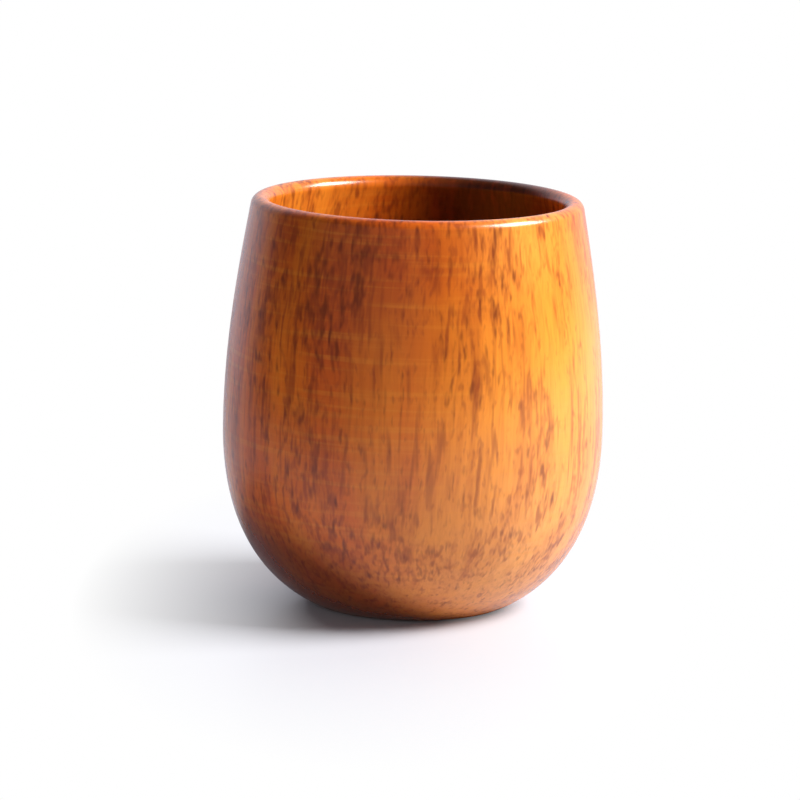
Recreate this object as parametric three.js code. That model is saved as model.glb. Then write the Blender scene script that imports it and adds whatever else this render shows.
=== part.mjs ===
// A wooden tea cup: one upright block of wood turned and hollowed on a lathe, then sealed with clear lacquer.
// Millimetres, +Z up. The origin is the centre of the ring that the cup stands on.
import * as THREE from 'three';

// Driving dimensions of the turned wood
const HEIGHT = 80; // standing ring to the top of the lip
const BELLY_RADIUS = 37; // outside, where the cup is widest
const BELLY_HEIGHT = 35; // height of that widest place
const RIM_RADIUS = 32.3; // outside of the lip
const RIM_LEAN = THREE.MathUtils.degToRad(9.9); // how far the wall leans in where it meets the lip
const LIP_THICKNESS = 3.5; // the lip is a half round of this width
const BELLY_WALL = 4; // wood between the belly and the hollow
const FLOOR_THICKNESS = 8; // standing ring to the bottom of the hollow
const FOOT_RADIUS = 18; // outer edge of the standing ring
const FOOT_RISE = THREE.MathUtils.degToRad(21.5); // slope of the outside as it leaves the foot
const STANDING_RING_WIDTH = 4.5;
const RECESS_DEPTH = 1; // hollow under the foot, with a 45 degree edge

// Driving dimensions of the lacquer
const COAT_THICKNESS = 0.15;
const BARE_EDGE = 0.8; // wood left uncoated above the standing ring

// Shape factors: how far each wall curve keeps its end direction, as a share of the curve's own reach
const SHOULDER_AT_BELLY = 0.39;
const SHOULDER_AT_RIM = 0.27;
const BOWL_AT_BELLY = 0.63;
const BOWL_AT_FOOT = 0.5;
const HOLLOW_AT_BELLY = 0.7;
const HOLLOW_AT_FLOOR = 0.7;

// Fineness of the faceted surfaces
const SEGMENTS = 48; // round the axis
const SHOULDER_STEPS = 5; // along each gently curved shoulder
const BOWL_STEPS = 10; // along each strongly curved bowl
const LIP_STEPS = 4; // along each half of the lip
const FOOT_STEPS = 1; // along the bare edge

// Places worked out from the driving dimensions. A point is (radius, height).
const point = (radius, height) => new THREE.Vector2(radius, height);
const lipRadius = LIP_THICKNESS / 2;
const lipCentre = point(RIM_RADIUS - lipRadius, HEIGHT - lipRadius);
const lipSide = point(Math.cos(RIM_LEAN), Math.sin(RIM_LEAN)).multiplyScalar(lipRadius);
const belly = point(BELLY_RADIUS, BELLY_HEIGHT);
const hollowBelly = point(BELLY_RADIUS - BELLY_WALL, BELLY_HEIGHT);
const foot = point(FOOT_RADIUS, 0);
const hollowFloor = point(0, FLOOR_THICKNESS);
const recessRadius = FOOT_RADIUS - STANDING_RING_WIDTH;
const recessFlatRadius = recessRadius - RECESS_DEPTH;

// The shoulder runs from a belly, where it is upright, to one side of the lip, where it leans in.
function shoulder(bellyPoint, rimPoint) {
  const reach = rimPoint.y - bellyPoint.y;
  const lean = point(Math.sin(RIM_LEAN), -Math.cos(RIM_LEAN)).multiplyScalar(SHOULDER_AT_RIM * reach);
  const upright = point(0, SHOULDER_AT_BELLY * reach);
  return new THREE.CubicBezierCurve(
    bellyPoint, bellyPoint.clone().add(upright), rimPoint.clone().add(lean), rimPoint);
}

// The bowl runs from the edge of the foot up to the belly.
function bowl() {
  const spread = (BELLY_RADIUS - FOOT_RADIUS) * BOWL_AT_FOOT;
  const rise = point(Math.cos(FOOT_RISE), Math.sin(FOOT_RISE)).multiplyScalar(spread);
  const upright = point(0, -BOWL_AT_BELLY * BELLY_HEIGHT);
  return new THREE.CubicBezierCurve(foot, foot.clone().add(rise), belly.clone().add(upright), belly);
}

// The bottom of the hollow runs from its own belly to the middle of its floor.
function hollowBowl() {
  const depth = BELLY_HEIGHT - FLOOR_THICKNESS;
  const upright = point(0, -HOLLOW_AT_BELLY * depth);
  const level = point(HOLLOW_AT_FLOOR * hollowBelly.x, 0);
  return new THREE.CubicBezierCurve(
    hollowBelly, hollowBelly.clone().add(upright), hollowFloor.clone().add(level), hollowFloor);
}

// Half of the lip's round, from one angle to another about its centre.
function lipHalf(from, to) {
  return new THREE.EllipseCurve(lipCentre.x, lipCentre.y, lipRadius, lipRadius, from, to);
}

function reversed(curve) {
  return new THREE.CubicBezierCurve(curve.v3, curve.v2, curve.v1, curve.v0);
}

// Even steps along a curve from parameter `from` to `to`. Each keeps its place and the way out of the wood,
// which is to the right of the walk.
function walk(curve, steps, from = 0, to = 1) {
  return Array.from({ length: steps + 1 }, (_, i) => {
    const t = from + ((to - from) * i) / steps;
    const along = curve.getTangent(t);
    return { place: curve.getPoint(t), out: point(along.y, -along.x) };
  });
}

// Walks end to end, with the place where two of them meet kept once.
function joined(...walks) {
  return walks.flatMap((steps, i) => (i ? steps.slice(1) : steps));
}

// The outside and the inside of the wood, both walked so that the wood is on the left.
const bowlCurve = bowl();
const coatStart = bowlCurve.getUtoTmapping(0, BARE_EDGE);
const bareEdge = walk(bowlCurve, FOOT_STEPS, 0, coatStart);
const outside = joined(
  walk(bowlCurve, BOWL_STEPS, coatStart),
  walk(shoulder(belly, lipCentre.clone().add(lipSide)), SHOULDER_STEPS),
  walk(lipHalf(RIM_LEAN, Math.PI / 2), LIP_STEPS));
const inside = joined(
  walk(lipHalf(Math.PI / 2, Math.PI + RIM_LEAN), LIP_STEPS),
  walk(reversed(shoulder(hollowBelly, lipCentre.clone().sub(lipSide))), SHOULDER_STEPS),
  walk(hollowBowl(), BOWL_STEPS));

const places = (steps) => steps.map((step) => step.place);

// The face of a coat that lies on the wood, lifted off it by the coat's thickness. On the axis it only rises.
function coatFace(steps) {
  return steps.map(({ place, out }) =>
    place.x === 0
      ? point(0, place.y + COAT_THICKNESS)
      : place.clone().addScaledVector(out, COAT_THICKNESS));
}

// Finishes. The lacquer is clear, so it takes the tone of the wood that shows through it.
const BARE_WOOD = { color: 0xb4702f, roughness: 0.6, metalness: 0 };
const LACQUER = { color: 0xb4641f, roughness: 0.15, metalness: 0 };

// A body of revolution from an outline walked with the solid on its left.
function turned(name, outline, finish) {
  const material = new THREE.MeshStandardMaterial(finish);
  const mesh = new THREE.Mesh(new THREE.LatheGeometry(outline, SEGMENTS), material);
  mesh.name = name;
  return mesh;
}

// The turned wood: recess, standing ring, outside, lip and hollow
function woodBody() {
  const outline = [
    point(0, RECESS_DEPTH),
    point(recessFlatRadius, RECESS_DEPTH),
    point(recessRadius, 0),
    ...places(joined(bareEdge, outside, inside)),
  ];
  return turned('wood_body', outline, BARE_WOOD);
}

// The clear coat on the outside, from above the foot to the crest of the lip
function outerLacquer() {
  const face = coatFace(outside);
  return turned('outer_lacquer', [...face, ...places(outside).reverse(), face[0]], LACQUER);
}

// The food-safe lining that keeps tea out of the wood, from the crest of the lip to the middle of the floor
function innerLining() {
  return turned('inner_lining', [...places(inside).reverse(), ...coatFace(inside)], LACQUER);
}

// The coat that closes the end grain inside the recess under the foot
function footSeal() {
  const outline = [
    point(0, RECESS_DEPTH - COAT_THICKNESS),
    point(recessFlatRadius, RECESS_DEPTH - COAT_THICKNESS),
    point(recessFlatRadius, RECESS_DEPTH),
    point(0, RECESS_DEPTH),
  ];
  return turned('foot_seal', outline, LACQUER);
}

// The lathe turns about +Y, so the cup is stood up on +Z.
const cup = new THREE.Group();
cup.rotation.x = Math.PI / 2;
cup.add(woodBody(), outerLacquer(), innerLining(), footSeal());

export default cup;
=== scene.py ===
"""A handleless tea cup, turned from one block of wood and finished in clear gloss lacquer."""
import math
from collections import namedtuple
from functools import partial

import bpy
import numpy as np
from mathutils import Matrix, Vector


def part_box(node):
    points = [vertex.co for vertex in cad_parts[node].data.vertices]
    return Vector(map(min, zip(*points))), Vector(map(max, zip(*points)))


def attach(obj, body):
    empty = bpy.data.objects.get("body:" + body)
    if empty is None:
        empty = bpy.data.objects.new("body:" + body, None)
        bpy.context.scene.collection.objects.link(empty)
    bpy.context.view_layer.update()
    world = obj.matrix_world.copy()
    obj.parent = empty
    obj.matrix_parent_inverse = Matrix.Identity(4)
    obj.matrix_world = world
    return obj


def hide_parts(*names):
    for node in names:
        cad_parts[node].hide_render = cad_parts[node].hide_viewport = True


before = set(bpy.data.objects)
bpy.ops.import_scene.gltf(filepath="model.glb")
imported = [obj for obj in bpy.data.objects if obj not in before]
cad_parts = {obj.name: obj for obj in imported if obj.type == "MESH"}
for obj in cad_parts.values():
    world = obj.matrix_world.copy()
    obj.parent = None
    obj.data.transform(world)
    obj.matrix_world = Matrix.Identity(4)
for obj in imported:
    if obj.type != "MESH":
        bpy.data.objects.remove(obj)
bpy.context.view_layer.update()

# Sizes in millimetres. What the frame's boxes give is read from them.
MM = 0.001
wood_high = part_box("wood_body")[1] / MM
coat_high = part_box("outer_lacquer")[1] / MM
lining_low, lining_high = (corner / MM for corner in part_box("inner_lining"))
seal_low, seal_high = (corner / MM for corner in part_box("foot_seal"))

HEIGHT = wood_high.z
BELLY_RADIUS = wood_high.x
COAT = coat_high.x - wood_high.x
HOLLOW_RADIUS = lining_high.x
FLOOR_HEIGHT = lining_low.z
RECESS_HEIGHT = seal_high.z
RECESS_FLAT_RADIUS = seal_high.x
RECESS_RADIUS = RECESS_FLAT_RADIUS + RECESS_HEIGHT

BELLY_HEIGHT = 35.0
RIM_RADIUS = 32.3
RIM_LEAN = math.radians(9.9)
LIP_RADIUS = 1.75
FOOT_RADIUS = 18.0
FOOT_RISE = math.radians(21.5)
BARE_EDGE = 0.8
COAT_FEATHER = 0.25  # the lacquer's lower edge thins out over this length
CORNER = 0.35  # how far the foot's softened corners reach each way

# Shape factors of the wall curves, as shares of each curve's own reach
SHOULDER_AT_BELLY = 0.39
SHOULDER_AT_RIM = 0.27
BOWL_AT_BELLY = 0.63
BOWL_AT_FOOT = 0.5
HOLLOW_AT_BELLY = 0.7
HOLLOW_AT_FLOOR = 0.7

# Fineness of the surfaces
SEGMENTS = 256
WALL_STEPS = 44
LIP_STEPS = 28
CORNER_STEPS = 5


def linear(hex_colour):
    """An sRGB hex colour as linear red, green, blue and alpha."""
    channels = np.array([int(hex_colour[i:i + 2], 16) for i in (1, 3, 5)]) / 255
    curved = np.where(channels <= 0.04045, channels / 12.92, ((channels + 0.055) / 1.055) ** 2.4)
    return (*curved.tolist(), 1.0)


def at(radius, height):
    """A point of an outline."""
    return np.array([radius, height])


def once_round(count):
    """Even angles once round, the first of them 0."""
    return np.arange(count) * 2 * np.pi / count


def bezier(start, leave, arrive, end, first=0.0):
    """Cubic curve: its four points weighted by the Bernstein shares of t, for even t from `first` to 1."""
    t = np.linspace(first, 1, WALL_STEPS + 1)[:, None]
    s = 1 - t
    return s ** 3 * start + 3 * s * s * t * leave + 3 * s * t * t * arrive + t ** 3 * end


def soft_corner(start, corner, end):
    """Quadratic curve from start to end that bends round a corner."""
    t = np.linspace(0, 1, CORNER_STEPS + 1)[:, None]
    return (1 - t) ** 2 * start + 2 * t * (1 - t) * corner + t * t * end


def shoulder(belly, rim):
    """Wall from a belly, where it stands upright, to one side of the lip, where it leans in."""
    reach = rim[1] - belly[1]
    upright = at(0, SHOULDER_AT_BELLY * reach)
    lean = SHOULDER_AT_RIM * reach * at(math.sin(RIM_LEAN), -math.cos(RIM_LEAN))
    return bezier(belly, belly + upright, rim + lean, rim)


def wood_outline():
    """Rows of (radius, height) round the wood, with the wood on the left. They walk over the recess, the
    standing ring, the outside, the lip and the hollow."""
    belly = at(BELLY_RADIUS, BELLY_HEIGHT)
    hollow = at(HOLLOW_RADIUS, BELLY_HEIGHT)
    lip_middle = at(RIM_RADIUS - LIP_RADIUS, HEIGHT - LIP_RADIUS)
    lip_side = LIP_RADIUS * at(math.cos(RIM_LEAN), math.sin(RIM_LEAN))
    foot = at(FOOT_RADIUS, 0)
    rise = at(math.cos(FOOT_RISE), math.sin(FOOT_RISE))
    level = at(1, 0)
    chamfer = at(1, -1) / math.sqrt(2)
    recess_rim = at(RECESS_RADIUS, 0)
    recess_edge = at(RECESS_FLAT_RADIUS, RECESS_HEIGHT)
    bowl_spread = BOWL_AT_FOOT * (BELLY_RADIUS - FOOT_RADIUS)
    bowl_start = CORNER / (3 * bowl_spread)  # a cubic curve sets out at three times its first handle
    bowl_drop = at(0, BOWL_AT_BELLY * BELLY_HEIGHT)
    bowl = bezier(foot, foot + bowl_spread * rise, belly - bowl_drop, belly, bowl_start)
    lip_angle = np.linspace(RIM_LEAN, math.pi + RIM_LEAN, LIP_STEPS + 1)[:, None]
    lip = lip_middle + LIP_RADIUS * np.hstack([np.cos(lip_angle), np.sin(lip_angle)])
    floor = at(0, FLOOR_HEIGHT)
    hollow_drop = at(0, HOLLOW_AT_BELLY * (BELLY_HEIGHT - FLOOR_HEIGHT))
    hollow_spread = HOLLOW_AT_FLOOR * HOLLOW_RADIUS
    hollow_bowl = bezier(hollow, hollow - hollow_drop, floor + hollow_spread * level, floor)
    stretches = [
        at(0, RECESS_HEIGHT)[None],
        soft_corner(recess_edge - CORNER * level, recess_edge, recess_edge + CORNER * chamfer),
        soft_corner(recess_rim - CORNER * chamfer, recess_rim, recess_rim + CORNER * level),
        soft_corner(foot - CORNER * level, foot, bowl[0])[:-1],
        bowl[:-1],
        shoulder(belly, lip_middle + lip_side)[:-1],
        lip[:-1],
        shoulder(hollow, lip_middle - lip_side)[:0:-1],
        hollow_bowl,
    ]
    return np.concatenate(stretches)


def along(outline):
    """Distance walked along an outline up to each of its rows."""
    steps = np.linalg.norm(np.diff(outline, axis=0), axis=1)
    return np.concatenate([[0], np.cumsum(steps)])


def past_foot(outline):
    """Distance walked along an outline past the outer edge of the standing ring, negative before it."""
    walked = along(outline)
    ring_edge = np.argmin(np.linalg.norm(outline - at(FOOT_RADIUS, 0), axis=1))
    return walked - walked[ring_edge]


def lacquered(outline):
    """The wood's outline lifted along its outward normals by the coat, which thins out at the bare edge."""
    slope = np.gradient(outline, axis=0)
    slope /= np.linalg.norm(slope, axis=1, keepdims=True)
    outward = np.stack([slope[:, 1], -slope[:, 0]], axis=1)
    film = COAT * np.clip((past_foot(outline) - BARE_EDGE) / COAT_FEATHER, 0, 1)
    lifted = outline + film[:, None] * outward
    lifted[[0, -1], 0] = 0
    return lifted


def revolve(name, outline):
    """Carries rows of (radius, height) round the axis at even angles. The first and last rows are points on
    the axis. The bake map runs once round in u and along the outline in v."""
    turn = once_round(SEGMENTS)
    body = outline[1:-1]
    rings = np.stack([
        np.outer(body[:, 0], np.cos(turn)),
        np.outer(body[:, 0], np.sin(turn)),
        np.outer(body[:, 1], np.ones(SEGMENTS)),
    ], axis=-1).reshape(-1, 3)
    ends = np.array([[0, 0, outline[0, 1]], [0, 0, outline[-1, 1]]])
    points = np.concatenate([ends[:1], rings, ends[1:]]) * MM

    here = 1 + np.arange(len(rings)).reshape(len(body), SEGMENTS)
    beside = np.roll(here, -1, axis=1)
    first = np.stack([np.zeros(SEGMENTS, int), beside[0], here[0]], axis=1)
    quads = np.stack([here[:-1], beside[:-1], beside[1:], here[1:]], axis=-1).reshape(-1, 4)
    last = np.stack([here[-1], beside[-1], np.full(SEGMENTS, len(points) - 1)], axis=1)
    mesh = bpy.data.meshes.new(name)
    mesh.from_pydata(points, [], [*first.tolist(), *quads.tolist(), *last.tolist()])
    mesh.shade_smooth()

    u = np.arange(SEGMENTS) / SEGMENTS
    step = 1 / SEGMENTS
    walked = along(outline)
    v = walked / walked[-1]
    wide = np.ones(SEGMENTS)
    first_uv = np.stack([u + step / 2, v[0] * wide, u + step, v[1] * wide, u, v[1] * wide], axis=-1)
    lower, upper = (np.outer(edge, wide) for edge in (v[1:-2], v[2:-1]))
    across = np.outer(np.ones(len(lower)), u)
    quad_uv = np.stack([across, lower, across + step, lower, across + step, upper, across, upper], axis=-1)
    last_uv = np.stack([u, v[-2] * wide, u + step, v[-2] * wide, u + step / 2, v[-1] * wide], axis=-1)
    bake_map = mesh.uv_layers.new(name="OFBake")
    bake_map.data.foreach_set("uv", np.concatenate([first_uv.ravel(), quad_uv.ravel(), last_uv.ravel()]))

    piece = bpy.data.objects.new(name, mesh)
    bpy.context.scene.collection.objects.link(piece)
    return piece


def fresh_nodes(owner):
    """The node tree of a material or world, emptied."""
    owner.use_nodes = True
    owner.node_tree.nodes.clear()
    return owner.node_tree


def add_node(tree, kind, inputs=None, output=None, **settings):
    """Adds a node with its settings and returns its output: the named one, or else the first that is in use.
    Each input is a value, or an output of another node to link."""
    node = tree.nodes.new("ShaderNode" + kind)
    for name, value in settings.items():
        setattr(node, name, value)
    for socket, value in (inputs or {}).items():
        if isinstance(value, bpy.types.NodeSocket):
            tree.links.new(value, node.inputs[socket])
        else:
            node.inputs[socket].default_value = value
    return node.outputs[output] if output else next((out for out in node.outputs if out.enabled), None)


# Sockets of a Mix node that blends colours
MIX_AMOUNT, MIX_UNDER, MIX_OVER = 0, 6, 7

# Lie of the grain, in millimetres. The trunk's middle is behind the cup, so its front is cut flat across the
# rings.
PITH = (-4.0, 78.9, 0.0)
LEAN = (0.0, -0.03, 0.0)  # how far the grain runs sideways for each millimetre up
WANDER_LENGTH = 60.0
WANDER_SWING = (6.0, 6.0, 0.0)
WANDER_DETAIL = 3.0
NOISE_MIDDLE = (0.5, 0.5, 0.5)
LEVEL = (1.0, 1.0, 0.0)

# Growth rings, in millimetres from the edge of a ring: dense plain wood, then open-pored wood
RING_WIDTH = 6.8
DENSE_BAND = 0.8
PORES_FULL = 1.8
PALE_BAND = 1.3
PORE_CROWDING = 0.5
PALE_AMOUNT = 0.12

# Parts of the block that differ from the rest, and patches of painted light, shade and reflection laid into
# the wood's colour like them: where each is, how far it reaches, how much it changes, its tone, how much
# taller it is than wide, and the share of its reach that isn't faded
Zone = namedtuple("Zone", "middle reach amount tone height core", defaults=[None, 1.0, 0.0])
CROWDED_ZONES = {
    "upper_left": Zone((-24.0, -24.0, 66.0), 36.0, 0.36),
    "left_column": Zone((-15.0, -33.0, 62.0), 9.0, 0.38, height=3.0),
    "middle_column": Zone((10.5, -35.0, 52.0), 8.0, 0.6, height=4.0),
    "right_column": Zone((22.0, -29.0, 44.0), 6.0, 0.45, height=4.0),
    "plain_belly": Zone((2.0, -38.0, 40.0), 18.0, -0.5),
    "plain_right": Zone((32.0, -20.0, 54.0), 34.0, -0.65),
    "plain_foot": Zone((8.0, -24.0, 6.0), 24.0, -0.7),
    "dashed_bowl": Zone((-4.0, -36.0, 26.0), 24.0, 0.25),
}
ZONES_UNDER_MARKS = {
    # Painted light: the right side, where the key lamp falls, is made lighter and more golden in the wood's
    # colour
    "painted_key_light_right": Zone((32.0, -26.0, 46.0), 52.0, 0.9, "#E79530"),
    # Painted light: the inner left wall, which the key lamp lights through the mouth, is made golden in the
    # wood's colour
    "painted_key_light_inside": Zone((-26.0, 18.0, 74.0), 28.0, 0.5, "#E79530"),
    # Painted highlight: the soft glow below the lip's highlight at the front right, laid into the wood's
    # colour
    "painted_highlight_glow_rim": Zone((20.0, -25.0, 78.0), 20.0, 0.6, "#F0A040"),
    "brown_rim": Zone((-22.0, -22.0, 77.0), 26.0, 0.5, "#8A3A0E"),
    "red_shoulder": Zone((-5.0, -34.0, 66.0), 24.0, 0.65, "#A63C08"),
    # Painted reflection: the pale sheen of the lit table on the lower front of the bowl
    "painted_table_reflection_bowl": Zone((6.0, -30.0, 14.0), 34.0, 0.35, "#D48A3C"),
    # Painted light: the light bounced up from the floor onto the lower right of the bowl
    "painted_floor_bounce_bowl": Zone((24.0, -22.0, 14.0), 36.0, 0.55, "#EEAC5E"),
}
# Painted shade: the lower left of the bowl by the foot, which faces the cup's own shadow on the floor, is
# darkened in the wood's colour
PAINTED_SHADE_LOWER_LEFT = Zone((-19.0, -12.0, -3.0), 32.0, 0.78, "#501A07", core=0.6)
HEART_AXIS = (30.5, 52.8, 0.0)
HEART_RADIUS = 50.0
HEART_EDGE = 16.0
HEART_AMOUNT = 0.95

# Mottle of the wood, from broad to fine. Size is a mark with its gap, in millimetres: across the rays, along
# them and up the grain. A mark takes its tone where noise of that size, helped by crowding, rises from low to
# high.
Mottle = namedtuple("Mottle", "size detail crowding low high amount tone")
PATCH = Mottle((5.0, 5.0, 22.0), 2.0, 0.0, 0.36, 0.64, 0.5, "#AC4812")
CLOUD = Mottle((9.0, 9.0, 40.0), 3.0, 0.0, 0.35, 0.65, 0.65, "#D87016")
VEIN = Mottle((1.8, 1.8, 40.0), 2.0, 0.0, 0.45, 0.75, 0.25, "#8E3410")
MOTTLES = {
    "fibre": Mottle((0.5, 0.5, 10.0), 2.0, 0.0, 0.4, 0.7, 0.15, "#A04212"),
    "turning": Mottle((30.0, 30.0, 1.1), 2.0, 0.0, 0.45, 0.75, 0.3, "#DC8628"),
    "speck": Mottle((0.8, 1.4, 2.4), 1.0, 0.12, 0.56, 0.86, 0.4, "#7A3018"),
    "streak": Mottle((1.2, 0.9, 14.0), 1.0, 0.08, 0.52, 0.82, 0.6, "#7C3014"),
    "fleck": Mottle((1.0, 1.8, 3.6), 1.0, 0.16, 0.62, 0.94, 0.7, "#5E240F"),
}
BODY_TONE = "#C85610"
PALE_TONE = "#E29026"
HEART_TONE = "#2E0F06"
CROWDING_TINT = {"From Min": 0.2, "From Max": 1.4, "To Max": 0.4}

# Relief in millimetres, and how rough the wood is between its pores and in them
RELIEF_DEPTH = 0.03
RELIEF_STRENGTH = 0.25
COAT_RELIEF_STRENGTH = 0.06
ROUGHNESS = {"From Max": MOTTLES["fleck"].amount, "To Min": 0.5, "To Max": 0.75}


def turned_wood(name, finish):
    """Ring-porous hardwood such as jujube, turned and sanded, with the grain upright. To the eye it is orange
    brown with crowded dark red-brown marks: streaks on the upright belly, flecks on the leaning walls, and
    short dashes under the belly. Under lacquer it is glossy, and bare it is matt."""
    material = bpy.data.materials.new(name)
    add = partial(add_node, fresh_nodes(material))

    # Place in the block, in millimetres, with the grain's wander and its lean added
    place = add("VectorMath", {0: add("TexCoord", output="Object"), "Scale": 1 / MM}, operation="SCALE")
    height = add("SeparateXYZ", {0: place}, output="Z")
    noise = {"Vector": place, "Scale": 1 / WANDER_LENGTH, "Detail": WANDER_DETAIL}
    wander = add("VectorMath", {0: add("TexNoise", noise, "Color"), 1: NOISE_MIDDLE}, operation="SUBTRACT")
    wander = add("VectorMath", {0: wander, 1: WANDER_SWING, 2: place}, operation="MULTIPLY_ADD")
    lean = add("VectorMath", {0: LEAN, "Scale": height}, operation="SCALE")
    grain = add("VectorMath", {0: wander, 1: lean}, operation="ADD")

    def from_upright(axis):
        """Level distance from an upright axis."""
        across = add("VectorMath", {0: grain, 1: axis}, operation="SUBTRACT")
        across = add("VectorMath", {0: across, 1: LEVEL}, operation="MULTIPLY")
        return add("VectorMath", {0: across}, operation="LENGTH")

    def within(zone):
        """The zone's amount in its core, fading to nothing at its reach."""
        away = add("VectorMath", {0: place, 1: zone.middle}, operation="SUBTRACT")
        away = add("VectorMath", {0: away, 1: (1.0, 1.0, zone.height)}, operation="DIVIDE")
        away = add("VectorMath", {0: away}, operation="LENGTH")
        ends = {"From Min": zone.core * zone.reach, "From Max": zone.reach}
        fade = {"Value": away, **ends, "To Min": zone.amount, "To Max": 0.0}
        return add("MapRange", fade, interpolation_type="SMOOTHSTEP")

    def marked(mottle, crowding=0.0):
        """The mottle's amount, as far as its noise in the grain has risen with the help of crowding."""
        cell = add("VectorMath", {0: grain, 1: mottle.size}, operation="DIVIDE")
        noise = add("TexNoise", {"Vector": cell, "Scale": 1.0, "Detail": mottle.detail})
        helped = add("Math", {0: crowding, 1: mottle.crowding, 2: noise}, operation="MULTIPLY_ADD")
        rise = {"Value": helped, "From Min": mottle.low, "From Max": mottle.high, "To Max": mottle.amount}
        return add("MapRange", rise, interpolation_type="SMOOTHSTEP")

    # How far inside its growth ring a place is, which gives open pores or a pale band
    inside = add("Math", {0: from_upright(PITH), 1: RING_WIDTH / 2}, operation="PINGPONG")
    pores = {"Value": inside, "From Min": DENSE_BAND, "From Max": PORES_FULL, "To Max": PORE_CROWDING}
    pores = add("MapRange", pores, interpolation_type="SMOOTHSTEP")
    pale = {"Value": inside, "From Max": PALE_BAND, "To Min": PALE_AMOUNT, "To Max": 0.0}
    pale = add("MapRange", pale, interpolation_type="SMOOTHSTEP")

    # How crowded the marks are: by rings, patches and zones
    crowding = pores
    for share in (marked(PATCH), *map(within, CROWDED_ZONES.values())):
        crowding = add("Math", {0: crowding, 1: share})

    # Dark heartwood round an axis of its own, behind the cup
    ends = {"From Min": HEART_RADIUS - HEART_EDGE, "From Max": HEART_RADIUS}
    heart = {"Value": from_upright(HEART_AXIS), **ends, "To Min": HEART_AMOUNT, "To Max": 0.0}
    heart = add("MapRange", heart, interpolation_type="SMOOTHSTEP")

    # Each tint goes over the ones before it. Among them are the painted light, reflection and shade zones,
    # and the painted shade on the lower left.
    marks = {kind: marked(mottle, crowding) for kind, mottle in MOTTLES.items()}
    tints = [
        (marked(CLOUD), CLOUD.tone),
        *((within(zone), zone.tone) for zone in ZONES_UNDER_MARKS.values()),
        (pale, PALE_TONE),
        (add("MapRange", {"Value": crowding, **CROWDING_TINT}), PATCH.tone),
        *((amount, MOTTLES[kind].tone) for kind, amount in marks.items()),
        # painted shade on the lower left of the bowl, which faces the cup's own shadow on the floor
        (within(PAINTED_SHADE_LOWER_LEFT), PAINTED_SHADE_LOWER_LEFT.tone),
        (heart, HEART_TONE),
        (marked(VEIN), VEIN.tone),
    ]
    tone = linear(BODY_TONE)
    for amount, tint in tints:
        tone = add("Mix", {MIX_AMOUNT: amount, MIX_UNDER: tone, MIX_OVER: linear(tint)}, data_type="RGBA")

    roughness = add("MapRange", {"Value": marks["fleck"], **ROUGHNESS})
    relief = add("Math", {0: marks["turning"], 1: marks["fleck"]}, operation="SUBTRACT")
    depth = {"Height": relief, "Distance": RELIEF_DEPTH * MM}
    wood_relief = add("Bump", {**depth, "Strength": RELIEF_STRENGTH})
    coat_relief = add("Bump", {**depth, "Strength": COAT_RELIEF_STRENGTH})
    look = {"Base Color": tone, "Roughness": roughness, "Normal": wood_relief, "Coat Normal": coat_relief}
    add("OutputMaterial", {"Surface": add("BsdfPrincipled", {**look, **finish})})
    return material


# Lacquer wets the wood, so that only the lacquer's own face mirrors.
GLOSS_LACQUER = {"Specular IOR Level": 0.0, "Coat Weight": 1.0, "Coat Roughness": 0.25, "Coat IOR": 1.5}
BARE = {"Specular IOR Level": 0.3}
lacquered_wood = turned_wood("jujube_wood_under_gloss_lacquer", GLOSS_LACQUER)
bare_wood = turned_wood("bare_jujube_wood", BARE)

# The cup: turned wood with its outer coat and lining, bare along the standing ring
outline = wood_outline()
cup = revolve("lacquered_cup", lacquered(outline))
cup.data.materials.append(lacquered_wood)
cup.data.materials.append(bare_wood)
reach = past_foot(outline)
bare_rows = (reach[:-1] + reach[1:]) / 2 < BARE_EDGE
cup.data.polygons.foreach_set("material_index", np.repeat(bare_rows, SEGMENTS).astype(np.int32))
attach(cup, "root")
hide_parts("wood_body", "outer_lacquer", "inner_lining")

# The film that seals the end grain in the recess under the foot
seal_outline = np.concatenate([
    at(0, seal_low.z)[None],
    soft_corner(
        at(RECESS_FLAT_RADIUS - COAT / 2, seal_low.z),
        at(RECESS_FLAT_RADIUS, seal_low.z),
        at(RECESS_FLAT_RADIUS, seal_low.z + COAT / 2)),
    at(RECESS_FLAT_RADIUS, seal_high.z)[None],
    at(0, seal_high.z)[None],
])
seal = revolve("foot_seal_film", seal_outline)
seal.data.materials.append(lacquered_wood)
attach(seal, "root")
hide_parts("foot_seal")

# Floor, in metres: a round table of pale satin board, with the cup on its left. To the camera it runs out
# into the studio's white round the cup.
WHITE = "#FFFFFF"
BOARD_TONE = "#C8C9D0"
SATIN = {"Roughness": 0.4, "Specular IOR Level": 0.2}
FLOOR_MIDDLE = (0.22, 0.08, 0.0)
FLOOR_RADIUS = 0.5
FLOOR_CORNERS = 64
FADE_MIDDLE = Vector((-6, 0, 0)) * MM
FADE_SHAPE = (1.0, 0.45, 1.0)  # it runs out sooner to the left and right than to the front and back
FADE_START = 0.014
FADE_END = 0.06

turn = once_round(FLOOR_CORNERS)
edge = np.stack([np.cos(turn), np.sin(turn), 0 * turn], axis=1) * FLOOR_RADIUS
floor_mesh = bpy.data.meshes.new("floor")
floor_mesh.from_pydata(edge + np.array(FLOOR_MIDDLE), [], [list(range(FLOOR_CORNERS))])
floor = bpy.data.objects.new("floor", floor_mesh)
bpy.context.scene.collection.objects.link(floor)

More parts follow.
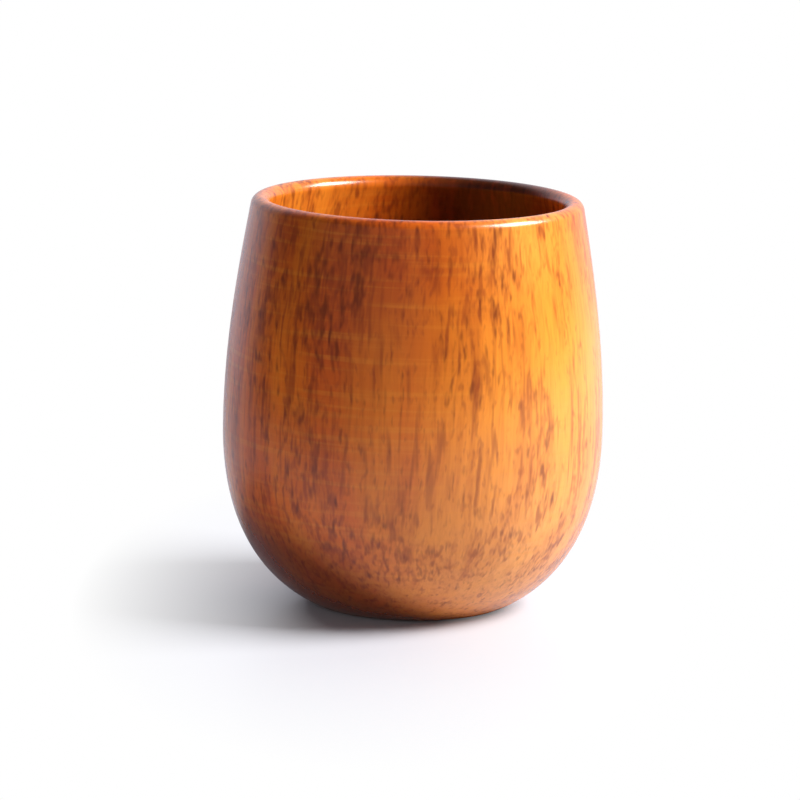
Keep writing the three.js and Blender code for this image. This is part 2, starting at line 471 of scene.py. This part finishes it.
board = bpy.data.materials.new("satin_white_board")
add = partial(add_node, fresh_nodes(board))
satin = add("BsdfPrincipled", {"Base Color": linear(BOARD_TONE), **SATIN})
away = add("VectorMath", {0: add("TexCoord", output="Object"), 1: FADE_MIDDLE}, operation="SUBTRACT")
away = add("VectorMath", {0: away, 1: FADE_SHAPE}, operation="MULTIPLY")
away = add("VectorMath", {0: away}, operation="LENGTH")
fade = add("MapRange", {"Value": away, "From Min": FADE_START, "From Max": FADE_END})
fade = add("Math", {0: fade, 1: add("LightPath", output="Is Camera Ray")}, operation="MULTIPLY")
white = add("Emission", {"Color": linear(WHITE)})
add("OutputMaterial", {"Surface": add("MixShader", {0: fade, 1: satin, 2: white})})
floor_mesh.materials.append(board)

# World: plain white to the camera. The cup sees a white backdrop behind it and a dim room elsewhere.
ROOM_TONE = "#F0F1FF"
BACKDROP = {"From Min": 0.3, "From Max": 0.7, "To Min": 0.06}
world = bpy.data.worlds.new("white_studio")
bpy.context.scene.world = world
add = partial(add_node, fresh_nodes(world))
direction = add("TexCoord", output="Generated")
room = add("MapRange", {"Value": add("SeparateXYZ", {0: direction}, output="Y"), **BACKDROP})
room = add("Background", {"Color": linear(ROOM_TONE), "Strength": room})
white = add("Background", {"Color": linear(WHITE)})
seen = add("LightPath", output="Is Camera Ray")
add("OutputWorld", {"Surface": add("MixShader", {0: seen, 1: room, 2: white})})

# Lamps, in metres and watts: a softbox on the right as the key, and a wide screen to the front left as the
# fill. Both face the cup's middle. An azimuth goes round from the right, by the front.
LAMP_DISTANCE = 0.9
Lamp = namedtuple("Lamp", "azimuth elevation width height power")
LAMPS = {
    "key_softbox": Lamp(math.radians(6), math.radians(40), 0.5, 0.4, 20.0),
    "fill_screen": Lamp(math.radians(120), math.radians(14), 1.4, 0.5, 2.5),
}
middle = Vector((0, 0, HEIGHT / 2)) * MM
for name, lamp in LAMPS.items():
    light = bpy.data.lights.new(name, "AREA")
    light.shape = "RECTANGLE"
    light.size = lamp.width
    light.size_y = lamp.height
    light.energy = lamp.power
    towards_lamp = Vector((
        math.cos(lamp.elevation) * math.cos(lamp.azimuth),
        -math.cos(lamp.elevation) * math.sin(lamp.azimuth),
        math.sin(lamp.elevation)))
    stand = bpy.data.objects.new(name, light)
    stand.location = middle + LAMP_DISTANCE * towards_lamp
    stand.rotation_euler = towards_lamp.to_track_quat("Z", "Y").to_euler()
    bpy.context.scene.collection.objects.link(stand)
bpy.data.objects["fill_screen"].visible_glossy = False  # so the lacquer doesn't mirror it

# Camera: the photograph's low view from the front, a little rolled
CAMERA_DISTANCE = 1.0
CAMERA_ELEVATION = math.radians(10.53)
CAMERA_ROLL = math.radians(1.25)
CAMERA_TARGET = Vector((-2.6, 0, 40.07)) * MM
CAMERA_LENS = 230.0
camera_data = bpy.data.cameras.new("camera")
camera_data.lens = CAMERA_LENS
camera = bpy.data.objects.new("camera", camera_data)
bpy.context.scene.collection.objects.link(camera)
bpy.context.scene.camera = camera
towards_camera = Vector((0, -math.cos(CAMERA_ELEVATION), math.sin(CAMERA_ELEVATION)))
aim = (-towards_camera).to_track_quat("-Z", "Y").to_matrix().to_4x4()
place = Matrix.Translation(CAMERA_TARGET + CAMERA_DISTANCE * towards_camera)
camera.matrix_world = place @ aim @ Matrix.Rotation(CAMERA_ROLL, 4, "Z")

bpy.context.scene.view_settings.view_transform = "Standard"
